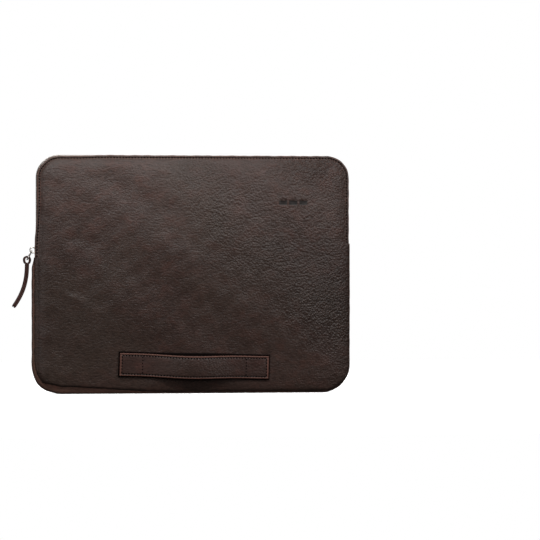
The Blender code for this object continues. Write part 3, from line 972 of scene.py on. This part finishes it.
def zip_teeth(side):
    phase = 0.0 if side < 0 else TOOTH_PITCH / 2
    left, right = TEETH_LEFT + phase + 0.0004, TEETH_RIGHT + 0.0004
    stations, along = run_between(left, right, TOOTH_PITCH)
    points, faces, uv = [], [], []
    for x, z, nx, nz in stations:
        tangent = (nz, -nx)
        on_left = x < -HALF_W + 0.001
        parted = on_left and z < TEETH_LEFT + 0.0125
        inner = 0.0006 if parted else 0.0003 if on_left else -0.00045
        shape = tooth_shape(0.00050, inner, 0.0028)
        start = len(points)
        for y, half, height in shape:
            for a, h in ((-1, -1), (1, -1), (1, 1), (-1, 1)):
                out = -CHAIN_IN + h * height + 0.0003 * (h > 0)
                points.append(
                    (
                        x + out * nx + a * half * tangent[0],
                        side * y,
                        z + out * nz + a * half * tangent[1],
                    )
                )
                uv.append((y + a * half, h * height + z))
        faces += solid_faces(start, len(shape), 4)
    made = make_mesh(WHICH[side] + "_teeth", points, faces, uv, [TEETH], shade=False)
    place_zip(fix_normals(made), side, "zip_teeth")


for edge_side in (-1, 1):
    zip_tape(edge_side)
    zip_teeth(edge_side)

for stop in ("zip_stop_left_front", "zip_stop_left_back", "zip_stop_right"):
    repaint(stop, NICKEL)
    bevel = frame["nodes"][stop].modifiers.new("rounded", "BEVEL")
    bevel.width = 0.0003
    bevel.segments = 3

# ---------------------------------------------------------------- stitches


def stitch_mesh(name, places, radius, body=None, blended=False, replaces=()):
    """places holds (middle, direction, outward, length): one sunk capsule for each stitch."""
    points, faces, uv = [], [], []
    sides = 8
    steps = [
        (-1.0, 0.25), (-0.88, 0.75), (-0.55, 1.0), (0.0, 1.05), (0.55, 1.0), (0.88, 0.75),
        (1.0, 0.25),
    ]
    for middle, direction, outward, length in places:
        middle, direction, outward = Vector(middle), Vector(direction), Vector(outward)
        side = direction.cross(outward).normalized()
        start = len(points)
        for along, wide in steps:
            sink = outward * (-radius * 0.9 * along * along)
            for k in range(sides):
                turn = 2 * math.pi * k / sides
                p = (
                    middle
                    + direction * (along * length / 2)
                    + sink
                    + (side * math.cos(turn) + outward * math.sin(turn) * 0.85) * radius * wide
                )
                points.append(tuple(p))
                uv.append((along * length / 2 + middle.x + middle.z, turn * radius))
        faces += solid_faces(start, len(steps), sides)
    made = fix_normals(make_mesh(name, points, faces, uv, [THREAD]))
    if blended:
        bend(made)
    place(made, None if blended else body, replaces)
    return made


def edge_stitches(side):
    stations, _ = run_between(GUSSET_LEFT + 0.0015, GUSSET_RIGHT + 0.0015, 0.00317)
    shifts = seam_shift(stations[:, 0], stations[:, 1], side)
    places = []
    for (x, z, nx, nz), shift in zip(stations, shifts):
        inset = 0.0025 - shift
        px, pz = x - inset * nx, z - inset * nz
        y = side * (FACE_Y + float(crown(px, pz, side)) - 0.00012)
        places.append(((px, y, pz), (nz, 0, -nx), (0, side, 0), 0.0020))
    name, key = WHICH[side] + "_edge_stitches", WHICH[side] + "_edge_thread"
    stitch_mesh(name, places, 0.00088, "sleeve", side < 0, [key])


edge_stitches(-1)
edge_stitches(1)

# ---------------------------------------------------------------- grab strap


def strap_rest(along, across):
    """The y of the surface that the strap lies on at its pads, carried level between them."""
    end = math.copysign(STRAP_HALF - STRAP_PAD * 0.5, along)
    share = min(1.0, abs(along) / (STRAP_HALF - STRAP_PAD))
    x, z = strap_place(along, across)
    here = float(crown(x, z, -1))
    ex, ez = strap_place(end, 0.0)
    flat = float(crown(ex, ez, -1))
    blend = share**4
    return here * blend + flat * (1 - blend)


def strap_ply(name, low, high, spread, lift, materials, replaces):
    """One layer of the strap. The first material is its face and the second its cut edge."""
    count = 96
    half = STRAP_HALF + spread
    ease = 0.5 * (1 - np.cos(np.linspace(0, math.pi, count + 1)))
    along = -half + 2 * half * (0.45 * ease + 0.55 * np.linspace(0, 1, count + 1))
    wide = STRAP_WIDE + spread
    r = 0.00045
    section = [(-wide, low + r), (-wide + r, low)]
    section += [(c, low) for c in np.linspace(-wide, wide, 9)[1:-1]]
    section += [(wide - r, low), (wide, low + r)]
    rim = [(0.0, -0.0005), (0.0002, -0.00015), (0.0006, 0.0), (0.0010, 0.00002), (0.0014, -0.00004),
           (0.0017, -0.00034), (0.0021, -0.00034), (0.0026, -0.00005), (0.0038, 0.0)]
    section += [(wide - c, high + d) for c, d in rim]
    section += [(c, high + 0.00012) for c in np.linspace(wide, -wide, 9)[2:-2]]
    section += [(-wide + c, high + d) for c, d in reversed(rim)]
    slot_of = []
    for j, (c, h) in enumerate(section):
        nc, nh = section[(j + 1) % len(section)]
        outer, middle = min(abs(c), abs(nc)), wide - abs(c + nc) / 2
        edge = int(outer > wide - 0.00145 and max(h, nh) > low + r / 2)
        # Slot 2 is the groove inside the rim. On the front ply it is near-black painted shade.
        slot_of.append(2 if 0.0015 < middle < 0.0022 and min(h, nh) > low + r else edge)
    rings, uv = [], []
    for a in along:
        near_end = min(1.0, (half - abs(a)) / 0.0008)
        squeeze = math.sqrt(max(0.0, 1 - (1 - near_end) ** 2))
        stand = float(strap_lift(a)) / STRAP_BOW
        for c, h in section:
            x, z = strap_place(a, c)
            if c > 0:
                z += lift * (0.4 + stand) * c / wide
            middle = (low + high) / 2
            level = middle + (h - middle) * (0.45 + 0.55 * squeeze)
            if abs(a) < half - 0.0014:
                level -= 0.0003 * float(smooth(half - 0.0024, half - 0.0016, abs(a)))
            roll = 0.0007 * (c / wide) ** 2 * stand
            y = FACE_Y + strap_rest(a, c) + float(strap_lift(a)) + level - roll
            rings.append((x, -y, z))
            uv.append((a, c + h + 0.22))
    rings = np.array(rings).reshape(len(along), -1, 3)
    made = loft(name, rings, uv, materials, slot_of=slot_of)
    sides = len(section)
    index = np.zeros(len(made.data.polygons), np.int32)
    made.data.polygons.foreach_get("material_index", index)
    for i, a in enumerate(along[:-1]):
        if abs(a + along[i + 1]) / 2 > half - 0.0014:
            index[i * sides:(i + 1) * sides] = 1
    index[-2:] = 1
    made.data.polygons.foreach_set("material_index", index)
    place(made, "sleeve", replaces)
    return made


# The backing ply is spread wider than the face and lifted at its upper side, most along the free
# middle, so its near-black rim shows as painted shadow round the strap, thickest above it.
strap_ply(
    "strap_back", 0.0002, 0.0002 + STRAP_PLY, 0.0012, 0.0016, [BACKING_PAINTED_SHADOW, BACKING_PAINTED_SHADOW, BACKING_PAINTED_SHADOW],
    ["grab_strap_backing"],
)
strap_ply(
    "strap_front", 0.0003 + STRAP_PLY, 0.0003 + 2 * STRAP_PLY, 0.0, 0.0,
    [STRAP_LEATHER, RAW_EDGE, PRESSED_AND_SHADE], ["grab_strap_face"],
)


def strap_stitches():
    top = 0.0003 + 2 * STRAP_PLY
    inset = 0.0023
    wide = STRAP_WIDE - inset
    half = STRAP_HALF - inset
    pitch = 0.0030

    def spot(a, c):
        x, z = strap_place(a, c)
        roll = 0.0007 * (c / STRAP_WIDE) ** 2 * float(strap_lift(a)) / STRAP_BOW
        y = -(FACE_Y + strap_rest(a, c) + float(strap_lift(a)) + top - roll + 0.00002)
        return Vector((x, y, z))

    def line(a0, c0, a1, c1):
        length = math.hypot(a1 - a0, c1 - c0)
        count = round(length / pitch)
        found = []
        for k in range(count):
            t0, t1 = (k + 0.18) / count, (k + 0.82) / count
            p = spot(a0 + (a1 - a0) * t0, c0 + (c1 - c0) * t0)
            q = spot(a0 + (a1 - a0) * t1, c0 + (c1 - c0) * t1)
            direction = (q - p).normalized()
            outward = Vector((0, -1, 0)) - direction * direction.dot(Vector((0, -1, 0)))
            found.append(((p + q) / 2, direction, outward.normalized(), (q - p).length))
        return found

    border = line(-half, wide, half, wide) + line(half, -wide, -half, -wide)
    border += line(-half, -wide, -half, wide) + line(half, wide, half, -wide)
    free = STRAP_HALF - STRAP_PAD
    lines = {
        "border": border,
        "left": line(-free, -wide, -free, wide),
        "right": line(free, -wide, free, wide),
    }
    for name, found in lines.items():
        replaces = [f"strap_{name}_thread"]
        stitch_mesh(
            f"strap_{name}_stitches", found, 0.00062, "sleeve", False, replaces
        )


strap_stitches()

# ---------------------------------------------------------------- slider, ring and pull

SLIDER_LOW, SLIDER_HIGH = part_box("zip_slider")
CHAIN_X = -HALF_W + CHAIN_IN
SLIDER_Z = (SLIDER_LOW.z + SLIDER_HIGH.z) / 2
RING_PIVOT = Vector(next(j for j in frame["joints"] if j["name"] == "ring_swing")["pos_m"])
TAB_PIVOT = Vector(next(j for j in frame["joints"] if j["name"] == "pull_tab_swing")["pos_m"])


def plate_outline(half, wide_low, wide_high, steps=7):
    """The slider plate's outline in (y, z): a rounded shield, wider at its mouth."""
    corners = [(wide_low, -half, 0.0012), (wide_high, half, 0.0018)]
    outline = []
    for (y, z, r), start in zip(corners, (-90, 0)):
        cz = z + r if z < 0 else z - r
        for k in range(steps):
            a = math.radians(start + 90 * k / (steps - 1))
            outline.append((y - r + r * math.cos(a), cz + r * math.sin(a)))
    return outline + [(-y, z) for y, z in reversed(outline)]


def slider_plate(name, sign):
    """One plate with domed outer face and side flanges that turn in over the tape."""
    half = (SLIDER_HIGH.z - SLIDER_LOW.z) / 2
    base = plate_outline(half, 0.0042, 0.0036)
    levels = [
        (0.00070, 1.00), (0.0016, 1.00), (0.00205, 0.985), (0.0023, 0.95), (0.0024, 0.88),
        (0.0024, 0.60), (0.0024, 0.25),
    ]
    rings, uv = [], []
    for out, share in levels:
        for y, z in base:
            rings.append((CHAIN_X + sign * out, y * share, SLIDER_Z + z * share))
            uv.append((y, z))
    inner = [(0.00165, 0.20), (0.00165, 0.74), (0.00070, 0.80)]
    hollow = []
    for out, share in inner:
        for y, z in base:
            hollow.append((CHAIN_X + sign * out, y * share, SLIDER_Z + z))
            uv.insert(0, (y, z))
    rings = np.array(hollow + rings).reshape(-1, len(base), 3)
    return loft(name, rings, uv, [NICKEL])


PATH_SIDE = Vector((0, 1, 0))


def tube(name, path, radius, material, closed, flat=1.0, sides=12):
    """A wire of round or flattened section along a path of points."""
    path = [Vector(p) for p in path]
    rings, uv = [], []
    n = len(path)
    run = 0.0
    for i, p in enumerate(path):
        before = path[i - 1] if closed or i else path[0]
        after = path[(i + 1) % n] if closed or i < n - 1 else path[-1]
        direction = (after - before).normalized()
        reference = PATH_SIDE if abs(direction.dot(PATH_SIDE)) < 0.95 else Vector((0, 0, 1))
        across = direction.cross(reference).normalized()
        third = across.cross(direction).normalized()
        if i:
            run += (p - path[i - 1]).length
        for k in range(sides):
            a = 2 * math.pi * k / sides
            rings.append(p + across * math.cos(a) * radius + third * math.sin(a) * radius * flat)
            uv.append((run, a * radius))
    rings = np.array([tuple(r) for r in rings]).reshape(n, sides, 3)
    return loft(name, rings, uv, [material], loop=closed)


EYE_R = 0.00285


def slider():
    outer = slider_plate("slider_with_bail", -1)
    inner = slider_plate("slider_inner", 1)
    half = (SLIDER_HIGH.z - SLIDER_LOW.z) / 2
    post = [
        (CHAIN_X - 0.0018 + 0.0036 * k / 6, 0, SLIDER_Z - half + 0.0022) for k in range(7)
    ]
    middle = tube("slider_post", post, 0.0012, NICKEL, False, 0.2)
    eye_x = CHAIN_X - 0.0024 - 0.0020
    foot = math.acos(0.00245 / EYE_R)
    eye = []
    for k in range(29):
        turn = foot + (2 * math.pi - 2 * foot) * k / 28
        eye.append((eye_x + EYE_R * math.cos(turn), 0, SLIDER_Z + EYE_R * math.sin(turn)))
    bail = tube("slider_bail", eye, 0.00070, NICKEL, False, 1.7, 16)
    for piece in (inner, middle, bail):
        join(outer, piece)
    place(outer, "slider", ["zip_slider"])


def join(target, other):
    bpy.ops.object.select_all(action="DESELECT")
    other.select_set(True)
    target.select_set(True)
    bpy.context.view_layer.objects.active = target
    bpy.ops.object.join()


def ring():
    down = (TAB_PIVOT - RING_PIVOT).normalized()
    length = (TAB_PIVOT - RING_PIVOT).length
    wide = 0.0055 - 0.00055
    r = 0.0014
    path = []
    for cy, cl, start in (
        (wide - r, r, -90), (wide - r, length - r, 0),
        (-wide + r, length - r, 90), (-wide + r, r, 180),
    ):
        for k in range(7):
            a = math.radians(start + 90 * k / 6)
            sideways = Vector((0, cy + r * math.cos(a), 0))
            path.append(RING_PIVOT + down * (cl + r * math.sin(a)) + sideways)
    made = tube("puller_ring", path, 0.00055, NICKEL, True)
    place(made, "ring", ["pull_ring"])


TAB_LENGTH = 0.052
TAB_LOOP = 0.0030
TAB_GAP = 0.00100
TAB_PLY = 0.00190
TAB_HALF = 0.0040
TAB_NECK = 0.0040


def tab_path():
    """The strip's middle line: up one ply, round the ring's bar and down the other."""
    step = 0.0010
    left, right = [], []
    x = z = 0.0
    for i in range(int(TAB_LENGTH / step) + 1):
        along = i * step
        share = along / 0.060
        heading = math.radians(37) * share * share * (3 - 2 * share)
        if i:
            x -= step * math.sin(heading)
            z -= step * math.cos(heading)
        neck = math.sqrt(max(0.0, 1 - (along / TAB_NECK) ** 2))
        offset = TAB_GAP + (TAB_LOOP - TAB_GAP) * neck
        left.append((x - offset * math.cos(heading), z + offset * math.sin(heading)))
        right.append((x + offset * math.cos(heading), z - offset * math.sin(heading)))
    loop = [
        (TAB_LOOP * math.cos(a), TAB_LOOP * math.sin(a))
        for a in (math.pi * (1 - i / 14) for i in range(1, 14))
    ]
    return left[::-1] + loop + right


def pull_tab():
    line = tab_path()
    r = 0.0004
    h, w = TAB_PLY / 2, TAB_HALF
    section = [
        (-h, -w + r), (-h, -w + 0.0016), (-h, 0.0), (-h, w - 0.0016), (-h, w - r),
        (-h + r, w), (0.0, w + 0.0001), (h - r, w), (h, w - r), (h, 0.0), (h, -w + r),
        (h - r, -w), (0.0, -w - 0.0001), (-h + r, -w),
    ]
    slot_of = [0, 0, 0, 0, 1, 1, 1, 1, 0, 0, 1, 1, 1, 1]
    rings, uv = [], []
    run = 0.0
    for i, (x, z) in enumerate(line):
        ax, az = line[max(i - 1, 0)]
        bx, bz = line[min(i + 1, len(line) - 1)]
        size = math.hypot(bx - ax, bz - az)
        nx, nz = (az - bz) / size, (bx - ax) / size
        if i:
            run += math.hypot(x - line[i - 1][0], z - line[i - 1][1])
        ends = min(1.0, 0.55 + min(i, len(line) - 1 - i) * 0.25)
        for across, y in section:
            thick = across * ends * (1.0 + 0.12 * math.exp(-((math.hypot(x, z) / 0.0042) ** 2)))
            width = y * min(1.0, 0.9 + 0.05 * min(i, len(line) - 1 - i))
            rings.append((TAB_PIVOT.x + x + thick * nx, width, TAB_PIVOT.z + z + thick * nz))
            uv.append((run + 0.3, y + across))
    rings = np.array(rings).reshape(len(line), -1, 3)
    made = loft("pull_strip", rings, uv, [STRAP_LEATHER, DARK_EDGE], slot_of=slot_of)
    place(made, "pull_tab", ["leather_pull_tab"])


slider()
ring()
pull_tab()

# ---------------------------------------------------------------- stage, light and camera


def floor():
    points = [(-1.1, -0.8, 0), (1.1, -0.8, 0), (1.1, 1.0, 0), (-1.1, 1.0, 0)]
    n = Nodes("pale_floor", (0.95, 0.95, 0.95), 0.7)
    n.shader.inputs["Specular IOR Level"].default_value = 0.1
    n.shader.inputs["Emission Color"].default_value = (1, 1, 1, 1)
    n.shader.inputs["Emission Strength"].default_value = 0.46
    made = make_mesh("floor", points, [(0, 1, 2, 3)], [(p[0], p[1]) for p in points], [n.material])
    made.visible_glossy = False
    made.visible_diffuse = False


def area_light(name, place_at, target, size, power, size_y=None):
    data = bpy.data.lights.new(name, "AREA")
    data.shape = "RECTANGLE"
    data.size = size
    data.size_y = size_y or size
    data.energy = power
    made = bpy.data.objects.new(name, data)
    bpy.context.scene.collection.objects.link(made)
    made.location = place_at
    made.rotation_euler = (Vector(target) - Vector(place_at)).to_track_quat("-Z", "Y").to_euler()
    made.visible_camera = False
    return made


def white_world():
    """White to the camera, and dimmer as a light, so that the softboxes shape the leather."""
    world = bpy.data.worlds.new("studio")
    bpy.context.scene.world = world
    world.use_nodes = True
    tree = world.node_tree
    background = tree.nodes["Background"]
    background.inputs["Color"].default_value = (1, 1, 1, 1)
    seen = tree.nodes.new("ShaderNodeLightPath").outputs["Is Camera Ray"]
    strength = tree.nodes.new("ShaderNodeMapRange")
    strength.inputs["To Min"].default_value = 0.06
    strength.inputs["To Max"].default_value = 1.0
    tree.links.new(seen, strength.inputs["Value"])
    tree.links.new(strength.outputs[0], background.inputs["Strength"])


def lights():
    white_world()
    area_light("overhead", (0, 0.1, 2.4), (0, 0.1, 0), 4.0, 86, 3.6)
    area_light("key", (0.07, -0.33, 0.38), (0.07, 0, 0.22), 0.80, 3.2, 0.10)
    area_light("left_strip", (-1.10, -1.25, 0.30), (0, 0, 0.13), 0.18, 6.0, 0.7)
    area_light("right_strip", (1.25, -1.10, 0.30), (0, 0, 0.13), 0.18, 6.0, 0.7)
    area_light("back_key", (0.05, 0.38, 0.42), (0.0, 0, 0.2), 0.8, 3.5, 0.12)


def camera():
    azimuth = math.radians(-9.0)
    distance = 3.34
    data = bpy.data.cameras.new("camera")
    data.lens = 214
    data.sensor_width = 36
    data.clip_start = 0.01
    data.clip_end = 50
    made = bpy.data.objects.new("camera", data)
    bpy.context.scene.collection.objects.link(made)
    back = Vector((math.sin(azimuth), -math.cos(azimuth), 0))
    right = Vector((math.cos(azimuth), math.sin(azimuth), 0))
    middle = Vector((0, 0, 0.1280)) + right * 0.0805
    made.location = middle + back * distance + Vector((0, 0, 0.012))
    made.rotation_euler = (middle - made.location).to_track_quat("-Z", "Y").to_euler()
    bpy.context.scene.camera = made


floor()
lights()
camera()
bpy.context.scene.view_settings.view_transform = "Standard"
bpy.context.view_layer.update()
